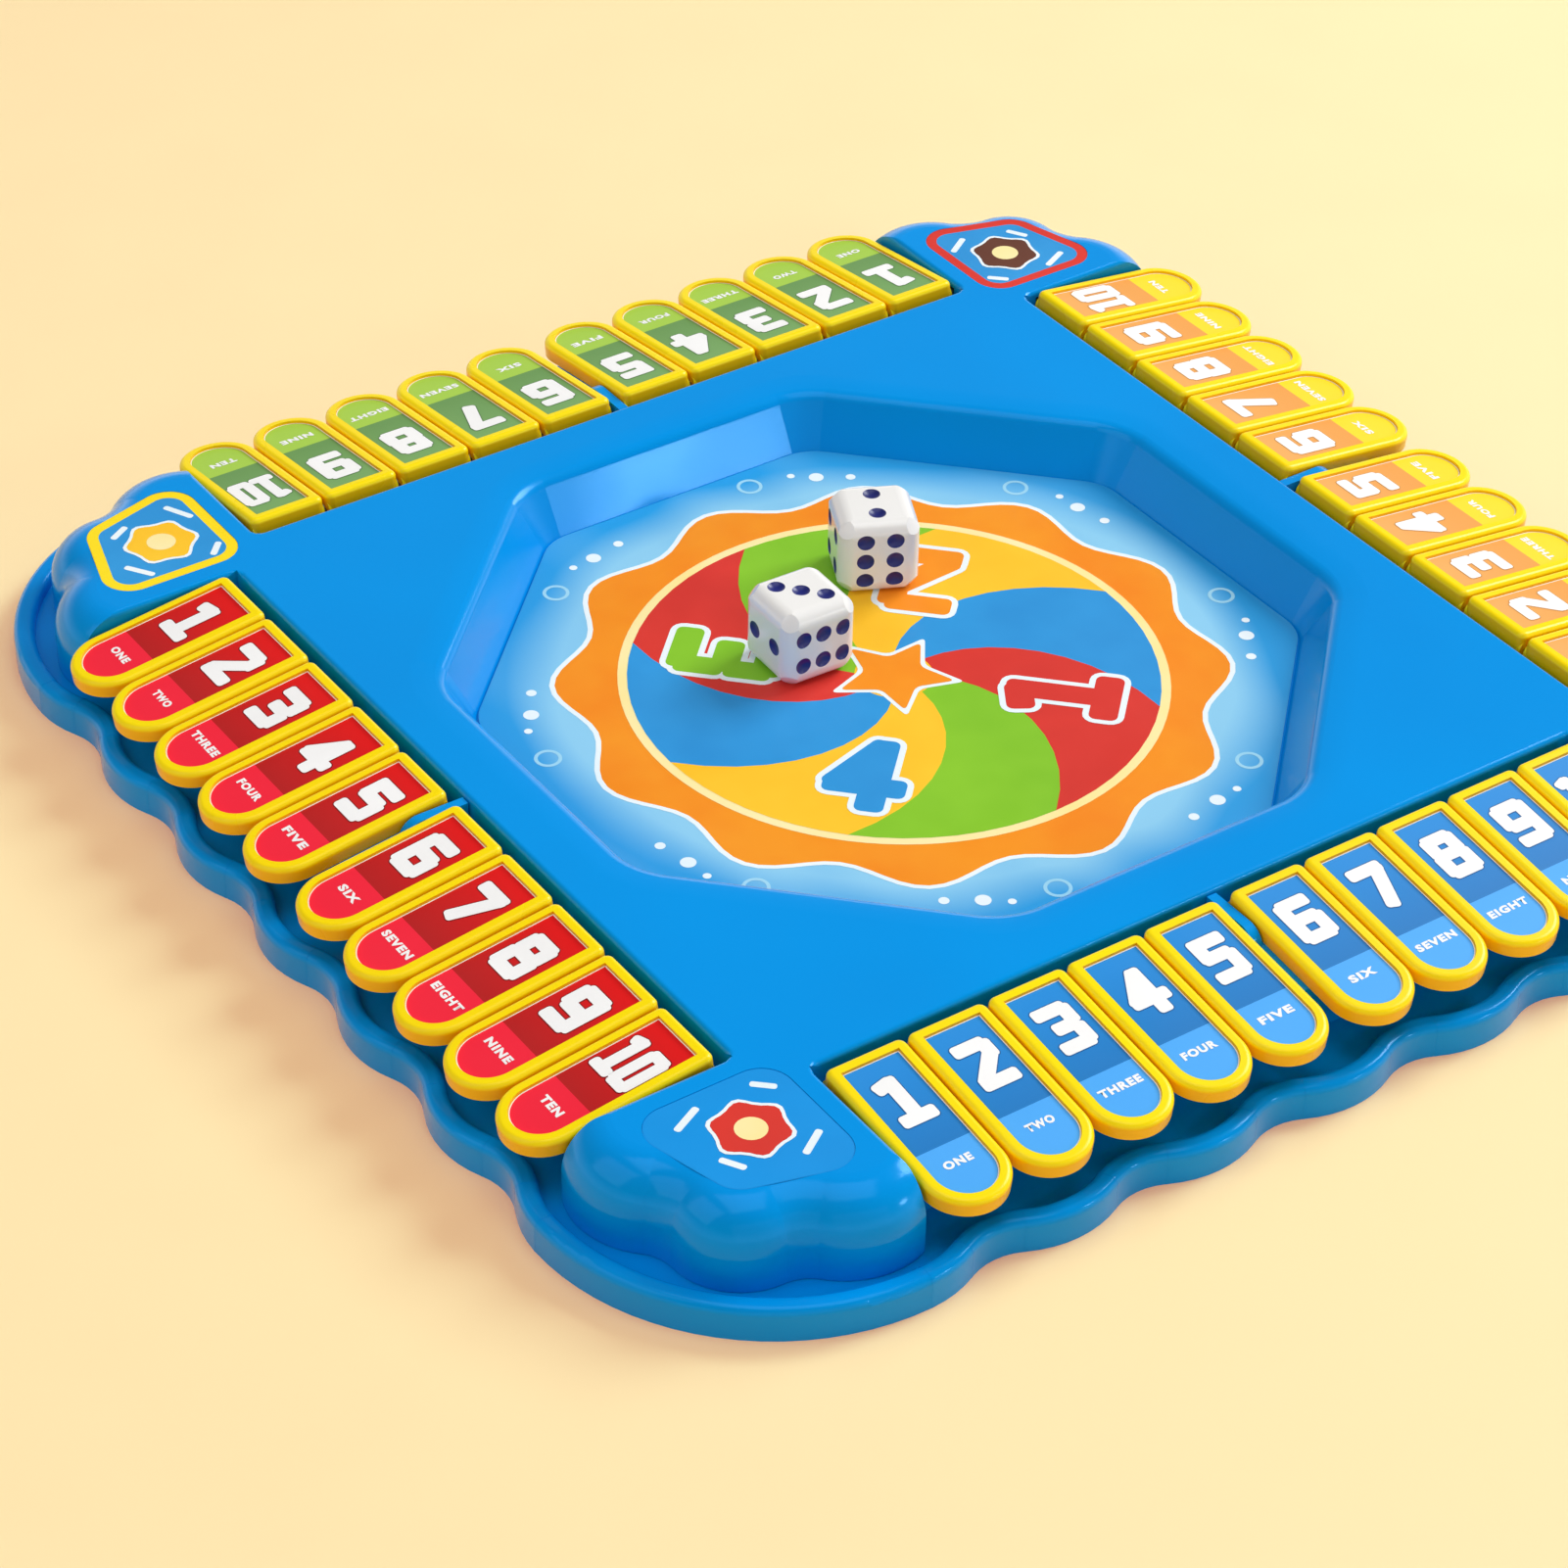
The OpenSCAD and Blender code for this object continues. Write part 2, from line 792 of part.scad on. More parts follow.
module die_pips() {
    pip(0, 0);
    for (s = [-1, 1]) pip(s * pip_out, -s * pip_out);
    rotate([90, 0, 0]) {
        for (x = [-six_long, 0, six_long]) for (y = [-six_wide, six_wide]) pip(x, y);
    }
    rotate([0, -90, 0]) {
        for (y = [-pip_out, pip_out]) pip(0, y);
    }
    rotate([0, 90, 0]) {
        pip(0, 0);
        for (x = [-pip_out, pip_out]) for (y = [-pip_out, pip_out]) pip(x, y);
    }
    rotate([-90, 0, 0]) pip(0, 0);
    rotate([180, 0, 0]) {
        for (x = [-pip_out, pip_out]) for (y = [-pip_out, pip_out]) pip(x, y);
    }
}

// Bar with the outline of a die's face
module die_bar() {
    c = die_w / 2 - die_r;
    linear_extrude(die_w, center = true) rounded_polygon([[-c, -c], [c, -c], [c, c], [-c, c]], die_r);
}

// One die about its middle: 3 on top, 6 at -Y, 2 at -X
module die() {
    difference() {
        intersection() {
            die_bar();
            rotate([90, 0, 0]) die_bar();
            rotate([0, 90, 0]) die_bar();
            sphere(die_soft);
        }
        die_pips();
    }
}

module die_at(spot, roll) {
    color("white") {
        translate([spot.x, spot.y, pit_floor + insert_t + die_w / 2]) {
            rotate([0, 0, spot.z]) rotate([0, roll, 0]) die();
        }
    }
}

module die_near() {
    die_at(near_spot, 0);
}

module die_far() {
    die_at(far_spot, 90);
}

module badge_front() {
    badge(2, "deepskyblue");
}

module badge_right() {
    badge(3, "limegreen");
}

module badge_back() {
    badge(0, "crimson");
}

module badge_left() {
    badge(1, "gold");
}

deck();
base();
pit_insert();
badge_front();
badge_right();
badge_back();
badge_left();
die_near();
die_far();
screws();
for (k = [0:3]) {
    hinge_rod(k);
    for (n = [1:tiles_per_row]) {
        row_tile(k, n);
    }
}
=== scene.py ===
"""Looks of the shut the box game: printed tile faces, corner badges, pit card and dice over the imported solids."""

import math

import bmesh
import bpy
from mathutils import Euler, Matrix, Vector


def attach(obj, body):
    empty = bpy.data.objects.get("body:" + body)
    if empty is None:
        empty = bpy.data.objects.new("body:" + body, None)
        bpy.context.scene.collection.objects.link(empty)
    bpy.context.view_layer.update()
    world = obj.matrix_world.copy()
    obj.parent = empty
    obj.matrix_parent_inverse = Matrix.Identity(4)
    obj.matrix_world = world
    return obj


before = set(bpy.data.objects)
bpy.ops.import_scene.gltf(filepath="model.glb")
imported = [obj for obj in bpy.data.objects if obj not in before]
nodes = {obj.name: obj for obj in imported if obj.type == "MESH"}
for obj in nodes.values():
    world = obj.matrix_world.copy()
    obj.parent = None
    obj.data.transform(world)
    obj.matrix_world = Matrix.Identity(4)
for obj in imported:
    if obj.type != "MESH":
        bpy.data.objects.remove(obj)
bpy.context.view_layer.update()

MM = 0.001

# Sizes of the solids, in mm
PITCH = 16.5
MID_GAP = 2.4
PIN_OUT = 98.0
PIN_Z = 16.5
TILE_TILT = 7.2
FACE_Z = 3.0
FACE_START = -0.35
FACE_ROUND = 26.05
FACE_HALF = 5.8
BADGE_Z = 19.4
BADGE_MIDDLES = [(94.1, 94.1), (110.4, 94.1), (106.8, 106.8), (94.1, 110.4)]
BADGE_R = 5.75
CARD_Z = 9.1
DIE_W = 16.0
PIP_R = 2.708
PIP_DEPTH = 0.6
DICE = {"die_near": (-12.2, 13.6, -1.9, 0.0), "die_far": (16.3, 30.1, -25.5, 90.0)}

# Sizes of the print, in mm; a tile's y runs from its hinge (0) outwards (negative)
LABEL_GAP = 0.08
LABEL_BORDER = 0.2
LABEL_SPLIT = -20.3
WORD_Y = -24.4
WORD_HEIGHT = 1.75
NUMBER_Y = -9.2
NUMBER_HEIGHT = 11.2
BADGE_MIDDLE = (100.6, 100.6)
DISC_R = 62.0
DISC_WAVE = 2.8
BAND_R = 52.0
WHEEL_R = 50.2
SPOKE_R = 32.0
BUBBLE_R = 69.0

ROWS = ["blue", "orange", "green", "red"]
WORDS = ["ONE", "TWO", "THREE", "FOUR", "FIVE", "SIX", "SEVEN", "EIGHT", "NINE", "TEN"]

# Corner badges: quarter turns from the back corner, and the inks of ring, ground and petals
BADGES = {
    "front": (2, "tray", "tray", "red"),
    "right": (3, "green", "blue", "orange"),
    "back": (0, "red", "blue", "brown"),
    "left": (1, "lemon", "blue", "yellow"),
}


def srgb(code):
    """Linear colour of a hex code."""
    parts = [int(code[i:i + 2], 16) / 255 for i in (0, 2, 4)]
    return tuple(c / 12.92 if c <= 0.04045 else ((c + 0.055) / 1.055) ** 2.4 for c in parts) + (1.0,)


# Shared effects

def shader_group(name, inputs, outputs):
    """An empty node group with float and colour sockets, and its ends."""
    group = bpy.data.node_groups.new(name, "ShaderNodeTree")
    for label, value in inputs:
        kind = "NodeSocketColor" if isinstance(value, tuple) else "NodeSocketFloat"
        socket = group.interface.new_socket(label, in_out="INPUT", socket_type=kind)
        socket.default_value = value
    for label, kind in outputs:
        group.interface.new_socket(label, in_out="OUTPUT", socket_type=kind)
    return group, group.nodes.new("NodeGroupInput"), group.nodes.new("NodeGroupOutput")


def noise(tree, coords, scale, detail):
    node = tree.nodes.new("ShaderNodeTexNoise")
    node.inputs["Detail"].default_value = detail
    if isinstance(scale, float):
        node.inputs["Scale"].default_value = scale
    else:
        tree.links.new(scale, node.inputs["Scale"])
    tree.links.new(coords, node.inputs["Vector"])
    return node.outputs["Fac"]


def spread(tree, value, low, high, out_low, out_high):
    node = tree.nodes.new("ShaderNodeMapRange")
    node.inputs["From Min"].default_value = low
    node.inputs["From Max"].default_value = high
    for label, end in (("To Min", out_low), ("To Max", out_high)):
        if isinstance(end, float):
            node.inputs[label].default_value = end
        else:
            tree.links.new(end, node.inputs[label])
    tree.links.new(value, node.inputs["Value"])
    return node.outputs["Result"]


def make_moulded_skin():
    """Roughness and height of moulded plastic: faint flow patches, fine grain and a few rubbed spots."""
    group, ends, out = shader_group(
        "moulded_skin",
        [("Smooth", 0.22), ("Rubbed", 0.36), ("Grain Scale", 900.0)],
        [("Roughness", "NodeSocketFloat"), ("Height", "NodeSocketFloat")],
    )
    coords = group.nodes.new("ShaderNodeTexCoord").outputs["Object"]
    patches = noise(group, coords, 34.0, 3.0)
    grain = noise(group, coords, ends.outputs["Grain Scale"], 2.0)
    rough = spread(group, patches, 0.35, 0.72, ends.outputs["Smooth"], ends.outputs["Rubbed"])
    group.links.new(rough, out.inputs["Roughness"])
    group.links.new(grain, out.inputs["Height"])
    return group


def make_colour_drift():
    """A colour that drifts a little over the surface."""
    group, ends, out = shader_group(
        "colour_drift",
        [("Colour", (0.5, 0.5, 0.5, 1.0)), ("Deep Colour", (0.4, 0.4, 0.4, 1.0)), ("Scale", 18.0)],
        [("Colour", "NodeSocketColor")],
    )
    coords = group.nodes.new("ShaderNodeTexCoord").outputs["Object"]
    drift = spread(group, noise(group, coords, ends.outputs["Scale"], 2.0), 0.3, 0.75, 0.0, 1.0)
    mix = group.nodes.new("ShaderNodeMix")
    mix.data_type = "RGBA"
    group.links.new(drift, mix.inputs["Factor"])
    group.links.new(ends.outputs["Colour"], mix.inputs["A"])
    group.links.new(ends.outputs["Deep Colour"], mix.inputs["B"])
    group.links.new(mix.outputs["Result"], out.inputs["Colour"])
    return group


def make_row_fade():
    """How far a spot lies out along its row of tiles: 0 at the hinge and 1 where the label changes colour."""
    group, ends, out = shader_group(
        "row_fade", [("Start", PIN_OUT * MM), ("End", (PIN_OUT + 20.0) * MM)], [("Mask", "NodeSocketFloat")]
    )
    coords = group.nodes.new("ShaderNodeTexCoord").outputs["Object"]
    size = group.nodes.new("ShaderNodeVectorMath")
    size.operation = "ABSOLUTE"
    parts = group.nodes.new("ShaderNodeSeparateXYZ")
    largest = group.nodes.new("ShaderNodeMath")
    largest.operation = "MAXIMUM"
    fade = group.nodes.new("ShaderNodeMapRange")
    group.links.new(coords, size.inputs[0])
    group.links.new(size.outputs["Vector"], parts.inputs[0])
    group.links.new(parts.outputs["X"], largest.inputs[0])
    group.links.new(parts.outputs["Y"], largest.inputs[1])
    group.links.new(largest.outputs["Value"], fade.inputs["Value"])
    group.links.new(ends.outputs["Start"], fade.inputs["From Min"])
    group.links.new(ends.outputs["End"], fade.inputs["From Max"])
    group.links.new(fade.outputs["Result"], out.inputs["Mask"])
    return group


def make_side_mask():
    """Painted shade: 1 on upright and lower faces, 0 on faces that look up, so that those faces take a deeper
    colour.
    """
    group, ends, out = shader_group("side_shade_mask", [("Upper", 0.5), ("Lower", 0.0)], [("Mask", "NodeSocketFloat")])
    normal = group.nodes.new("ShaderNodeTexCoord").outputs["Normal"]
    parts = group.nodes.new("ShaderNodeSeparateXYZ")
    fade = group.nodes.new("ShaderNodeMapRange")
    group.links.new(normal, parts.inputs[0])
    group.links.new(parts.outputs["Z"], fade.inputs["Value"])
    group.links.new(ends.outputs["Upper"], fade.inputs["From Min"])
    group.links.new(ends.outputs["Lower"], fade.inputs["From Max"])
    group.links.new(fade.outputs["Result"], out.inputs["Mask"])
    return group


moulded_skin = make_moulded_skin()
colour_drift = make_colour_drift()
row_fade = make_row_fade()
side_shade_mask = make_side_mask()


def place_group(tree, group, values):
    node = tree.nodes.new("ShaderNodeGroup")
    node.node_tree = group
    for label, value in values.items():
        node.inputs[label].default_value = value
    return node


def surface(
    name, colour, deep, smooth, rubbed,
    grain=900.0, bump=0.02, metallic=0.0, scale=18.0, coat=0.0, shine=0.5, glint="FFFFFF",
):
    """A material whose colour, gloss and grain vary over the surface; glint is the colour of its highlights."""
    mat = bpy.data.materials.new(name)
    mat.use_nodes = True
    tree = mat.node_tree
    shader = tree.nodes["Principled BSDF"]
    shader.inputs["Metallic"].default_value = metallic
    shader.inputs["Specular IOR Level"].default_value = shine
    shader.inputs["Specular Tint"].default_value = srgb(glint)
    shader.inputs["Coat Weight"].default_value = coat
    shader.inputs["Coat Roughness"].default_value = 0.12
    drift = place_group(tree, colour_drift, {"Colour": srgb(colour), "Deep Colour": srgb(deep), "Scale": scale})
    skin = place_group(tree, moulded_skin, {"Smooth": smooth, "Rubbed": rubbed, "Grain Scale": grain})
    relief = tree.nodes.new("ShaderNodeBump")
    relief.inputs["Strength"].default_value = bump
    relief.inputs["Distance"].default_value = 0.0002
    tree.links.new(drift.outputs["Colour"], shader.inputs["Base Color"])
    tree.links.new(skin.outputs["Roughness"], shader.inputs["Roughness"])
    tree.links.new(skin.outputs["Height"], relief.inputs["Height"])
    tree.links.new(relief.outputs["Normal"], shader.inputs["Normal"])
    return mat


def tint(mat, group, colour):
    """Mixes another colour into a surface where the group's mask is 1."""
    tree = mat.node_tree
    base = tree.nodes["Principled BSDF"].inputs["Base Color"]
    plain = base.links[0].from_socket
    mix = tree.nodes.new("ShaderNodeMix")
    mix.data_type = "RGBA"
    mix.inputs["B"].default_value = srgb(colour)
    tree.links.new(place_group(tree, group, {}).outputs["Mask"], mix.inputs["Factor"])
    tree.links.new(plain, mix.inputs["A"])
    tree.links.new(mix.outputs["Result"], base)
    return mat


tray_blue = surface("tray_blue", "0098EC", "0091E4", 0.13, 0.2, shine=0.45, glint="7FC4FF")
# Painted shade: the tiles' upright and lower faces turn a deeper orange (FFC000) than their tops.
tile_yellow = tint(surface("tile_yellow", "FFE600", "FFDD00", 0.24, 0.34, shine=0.25), side_shade_mask, "FFC000")
die_white = surface("die_white", "F7F6F4", "F1F0EE", 0.16, 0.24, coat=0.3)
pip_blue = surface("pip_blue", "14207A", "101A66", 0.3, 0.42)
steel = surface("steel", "C4C6CA", "B4B7BC", 0.28, 0.42, grain=2400.0, metallic=1.0)


def ink(name, colour, deep=None, scale=60.0):
    """Printing ink on varnished paper."""
    return surface(name, colour, deep or colour, 0.34, 0.46, grain=1800.0, bump=0.01, scale=scale, shine=0.3)


paper_white = ink("paper_white", "FBFAF8", "F4F3F0")
digit_white = ink("digit_white", "FCFCFC", "F5F5F5")
row_colours = {
    "blue": ("1A8EE0", "0F79C4", "49ABFA", "0E5E9C"),
    "orange": ("F3AF60", "F0A24C", "FFDF26", "C98A3A"),
    "green": ("76A862", "64964F", "A6D046", "41703A"),
    "red": ("E60D10", "B81A1C", "F7223C", "7E0C10"),
}
row_inks = {
    row: (
        tint(ink(f"{row}_label", near), row_fade, far),
        ink(f"{row}_foot", foot),
        ink(f"{row}_line", line),
    )
    for row, (near, far, foot, line) in row_colours.items()
}
sign_inks = {
    "orange": ink("print_orange", "FA9A1E", "F6880F"),
    "pale": ink("print_pale", "FFF0B4", "FFE796"),
    "green": ink("print_green", "8CCB2D", "7FC022"),
    "yellow": ink("print_yellow", "FFCB2E", "FFC020"),
    "lemon": ink("print_lemon", "FFE31C", "FFDC10"),
    "tray": ink("print_tray", "0A97E8", "0791E1"),
    "blue": ink("print_blue", "2F9BE0", "2790D6"),
    "red": ink("print_red", "E0392F", "D43229"),
    "brown": ink("print_brown", "6A3A2A", "5E3325"),
    "foam": ink("print_foam", "F4FBFE", "E6F5FC"),
    "wave": ink("print_wave", "A9DDF3", "96D3EF"),
}


def water_ink(name, middle, edge, reach):
    """Blue ground that darkens from the middle of the card to its edge, with soft wavy bands."""
    mat = surface(name, middle, edge, 0.3, 0.42, grain=1800.0, bump=0.01)
    tree = mat.node_tree
    shader = tree.nodes["Principled BSDF"]
    coords = tree.nodes.new("ShaderNodeTexCoord").outputs["Object"]
    mapping = tree.nodes.new("ShaderNodeMapping")
    mapping.inputs["Scale"].default_value = (1.0, 1.0, 0.0)
    tree.links.new(coords, mapping.inputs["Vector"])
    length = tree.nodes.new("ShaderNodeVectorMath")
    length.operation = "LENGTH"
    tree.links.new(mapping.outputs["Vector"], length.inputs[0])
    wave = tree.nodes.new("ShaderNodeTexWave")
    wave.inputs["Scale"].default_value = 11.0
    wave.inputs["Distortion"].default_value = 9.0
    wave.inputs["Detail Scale"].default_value = 0.8
    tree.links.new(coords, wave.inputs["Vector"])
    bands = spread(tree, wave.outputs["Fac"], 0.0, 1.0, -0.12, 0.12)
    fall = spread(tree, length.outputs["Value"], reach * 0.86, reach, 0.0, 1.0)
    total = tree.nodes.new("ShaderNodeMath")
    total.use_clamp = True
    tree.links.new(fall, total.inputs[0])
    tree.links.new(bands, total.inputs[1])
    mix = tree.nodes.new("ShaderNodeMix")
    mix.data_type = "RGBA"
    mix.inputs["A"].default_value = srgb(middle)
    mix.inputs["B"].default_value = srgb(edge)
    tree.links.new(total.outputs["Value"], mix.inputs["Factor"])
    tree.links.new(mix.outputs["Result"], shader.inputs["Base Color"])
    return mat


card_water = water_ink("card_water", "8FD0F2", "259FE2", 0.073)


# Modelling by hand

def begin():
    if bpy.context.object and bpy.context.object.mode != "OBJECT":
        bpy.ops.object.mode_set(mode="OBJECT")
    bpy.ops.object.select_all(action="DESELECT")


def finish_piece(obj, name):
    """Puts a piece's place into its mesh and names it."""
    begin()
    obj.select_set(True)
    bpy.context.view_layer.objects.active = obj
    bpy.ops.object.transform_apply(location=True, rotation=True, scale=True)
    obj.name = name
    obj.data.name = name
    return obj


def give_ink(obj, *mats):
    slots = [face.material_index for face in obj.data.polygons]
    obj.data.materials.clear()
    for mat in mats:
        obj.data.materials.append(mat)
    for face, slot in zip(obj.data.polygons, slots):
        face.material_index = slot


def join_pieces(name, pieces):
    begin()
    for piece in pieces:
        piece.select_set(True)
    bpy.context.view_layer.objects.active = pieces[0]
    bpy.ops.object.join()
    return finish_piece(bpy.context.object, name)


def set_slot(obj, slot, inks):
    """Every face of obj takes one slot out of inks."""
    give_ink(obj, *inks)
    for face in obj.data.polygons:
        face.material_index = slot


def soft_sheet(middles, radius, z, count=72):
    """A flat sheet round some corner circles, made from a filled circle whose points move to the outline."""
    begin()
    bpy.ops.mesh.primitive_circle_add(vertices=count, radius=0.01, fill_type="NGON", location=(0, 0, 0))
    obj = bpy.context.object
    for vert in obj.data.vertices:
        way = Vector((vert.co.x, vert.co.y)).normalized()
        middle = max(middles, key=lambda m: m[0] * way.x + m[1] * way.y)
        vert.co = Vector((middle[0] + radius * way.x, middle[1] + radius * way.y, z)) * MM
    obj.data.update()
    return obj


def inset_sheet(obj, steps):
    """Insets the sheet again and again; each step is a width in mm and the slot of what lies inside it."""
    bpy.ops.object.mode_set(mode="EDIT")
    bpy.ops.mesh.select_all(action="SELECT")
    for width, slot in steps:
        bpy.ops.mesh.inset(thickness=width * MM, use_even_offset=True)
        bm = bmesh.from_edit_mesh(obj.data)
        for face in bm.faces:
            if face.select:
                face.material_index = slot
        bmesh.update_edit_mesh(obj.data)
    bpy.ops.object.mode_set(mode="OBJECT")


def add_bar(obj, start, end, half, low, high, rounding):
    """In edit mode: a bar from start to end, a plane with rounded corners drawn up to its thickness."""
    bpy.ops.mesh.select_all(action="DESELECT")
    bpy.ops.mesh.primitive_plane_add(size=MM, location=(0, 0, 0))
    bm = bmesh.from_edit_mesh(obj.data)
    a, b = Vector(start), Vector(end)
    along = (b - a).normalized()
    across = Vector((-along.y, along.x))
    middle = (a + b) / 2
    reach = (b - a).length / 2 + half
    for vert in bm.verts:
        if vert.select:
            place = middle + math.copysign(reach, vert.co.x) * along + math.copysign(half, vert.co.y) * across
            vert.co = Vector((place.x, place.y, low)) * MM
    bmesh.update_edit_mesh(obj.data)
    bpy.ops.mesh.bevel(offset=rounding * MM, segments=4, affect="VERTICES")
    bpy.ops.mesh.extrude_region_move(TRANSFORM_OT_translate={"value": (0, 0, (high - low) * MM)})


def bars_object(bars, low, high, rounding):
    """Separate bars in one new object."""
    begin()
    bpy.ops.mesh.primitive_plane_add(size=MM)
    obj = bpy.context.object
    bpy.ops.object.mode_set(mode="EDIT")
    bpy.ops.mesh.select_all(action="SELECT")
    bpy.ops.mesh.delete(type="VERT")
    for start, end, half in bars:
        add_bar(obj, start, end, half, low, high, rounding)
    bpy.ops.mesh.select_all(action="SELECT")
    bpy.ops.mesh.normals_make_consistent(inside=False)
    bpy.ops.object.mode_set(mode="OBJECT")
    return obj


def fused_bars(bars, low, high, rounding):
    """Bars fused into one outline, without the lines that the fusing leaves on its flat faces."""
    obj = bars_object(bars[:-1], low, high, rounding)
    tool = bars_object(bars[-1:], low, high, rounding)
    begin()
    obj.select_set(True)
    bpy.context.view_layer.objects.active = obj
    fuse = obj.modifiers.new("fuse", "BOOLEAN")
    fuse.operation = "UNION"
    fuse.solver = "EXACT"
    fuse.use_self = True
    fuse.object = tool
    bpy.ops.object.modifier_apply(modifier="fuse")
    bpy.data.objects.remove(tool, do_unlink=True)
    bpy.ops.object.mode_set(mode="EDIT")
    bpy.ops.mesh.select_all(action="SELECT")
    bpy.ops.mesh.remove_doubles(threshold=0.001 * MM)
    bpy.ops.mesh.dissolve_limited(angle_limit=math.radians(1.0))
    bpy.ops.object.mode_set(mode="OBJECT")
    return obj


# Strokes of the figures in a box 8 wide and 11 high
STROKES = {
    0: [((1.6, 8.9), (1.6, 2.1)), ((6.4, 8.9), (6.4, 2.1)), ((2.3, 9.6), (5.7, 9.6)), ((2.3, 1.4), (5.7, 1.4))],
    1: [((2.3, 9.3), (3.6, 9.6)), ((4.2, 9.6), (4.2, 1.4)), ((2.1, 1.4), (6.3, 1.4))],
    2: [((1.8, 9.6), (5.5, 9.6)), ((6.3, 8.8), (6.3, 7.4)), ((6.0, 6.9), (2.2, 2.6)), ((1.9, 1.4), (6.5, 1.4))],
    3: [((1.8, 9.6), (5.6, 9.6)), ((6.3, 8.8), (6.3, 7.0)), ((3.2, 5.6), (5.6, 5.6)), ((6.3, 4.2), (6.3, 2.2)),
        ((1.8, 1.4), (5.6, 1.4))],
    4: [((4.7, 9.4), (1.8, 4.4)), ((1.7, 3.8), (6.7, 3.8)), ((5.1, 9.6), (5.1, 1.4))],
    5: [((1.9, 9.6), (6.2, 9.6)), ((1.9, 9.2), (1.9, 6.6)), ((2.2, 6.1), (5.5, 6.1)), ((6.3, 5.2), (6.3, 2.3)),
        ((1.8, 1.4), (5.6, 1.4))],
    6: [((1.6, 8.9), (1.6, 2.1)), ((2.4, 9.6), (6.1, 9.6)), ((2.4, 5.8), (5.6, 5.8)), ((6.4, 5.0), (6.4, 2.1)),
        ((2.4, 1.4), (5.6, 1.4))],
    7: [((1.8, 9.6), (6.3, 9.6)), ((6.2, 9.0), (3.6, 1.6))],
    8: [((1.8, 8.9), (1.8, 6.9)), ((6.2, 8.9), (6.2, 6.9)), ((2.4, 9.6), (5.6, 9.6)), ((2.4, 5.7), (5.6, 5.7)),
        ((1.6, 4.6), (1.6, 2.1)), ((6.4, 4.6), (6.4, 2.1)), ((2.3, 1.4), (5.7, 1.4))],
    9: [((6.4, 8.9), (6.4, 2.1)), ((2.4, 9.6), (5.6, 9.6)), ((2.4, 5.2), (5.6, 5.2)), ((1.6, 8.9), (1.6, 6.0)),
        ((1.9, 1.4), (5.6, 1.4))],
}


def figure(number, centre, size, narrow, z, slots, line, inks):
    """A fat figure with a thin line round it, about centre, its top towards +Y; slots are figure and line."""
    digits = [int(c) for c in str(number)]
    width = narrow * size * 8 / 11
    half = 1.36 * size / 11 * narrow ** 0.45
    layers = []
    for slot, grow, low, high in ((slots[1], line, z, z + 0.03), (slots[0], 0.0, z + 0.01, z + 0.06)):
        for i, digit in enumerate(digits):
            left = centre[0] + (i - len(digits) / 2) * width
            bars = []
            for stroke in STROKES[digit]:
                ends = [(left + x / 8 * width, centre[1] + (y / 11 - 0.5) * size) for x, y in stroke]
                bars.append((ends[0], ends[1], half + grow))
            layer = fused_bars(bars, low, high, 0.7 * size / 11 + grow)
            set_slot(layer, slot, inks)
            layers.append(layer)
    return layers


def word_mesh(word, height, width, place):
    """A printed word as a mesh, its middle at place and its top towards +Y."""
    begin()
    bpy.ops.object.text_add(location=(0, 0, 0))
    obj = bpy.context.object
    text = obj.data
    text.body = word
    text.size = 1.0
    text.offset = 0.055
    text.space_character = 1.2
    text.resolution_u = 3
    text.align_x = "CENTER"
    text.align_y = "CENTER"
    bpy.ops.object.convert(target="MESH")
    obj = bpy.context.object
    xs = [v.co.x for v in obj.data.vertices]
    ys = [v.co.y for v in obj.data.vertices]
    middle = ((min(xs) + max(xs)) / 2, (min(ys) + max(ys)) / 2)
    sx = width * MM / (max(xs) - min(xs))
    sy = height * MM / (max(ys) - min(ys))
    for vert in obj.data.vertices:
        vert.co = Vector((
            (vert.co.x - middle[0]) * sx + place[0] * MM,
            (vert.co.y - middle[1]) * sy + place[1] * MM,
            place[2] * MM,
        ))
    return obj


def face_inks(row):
    label, foot, line = row_inks[row]
    return paper_white, label, foot, digit_white, line


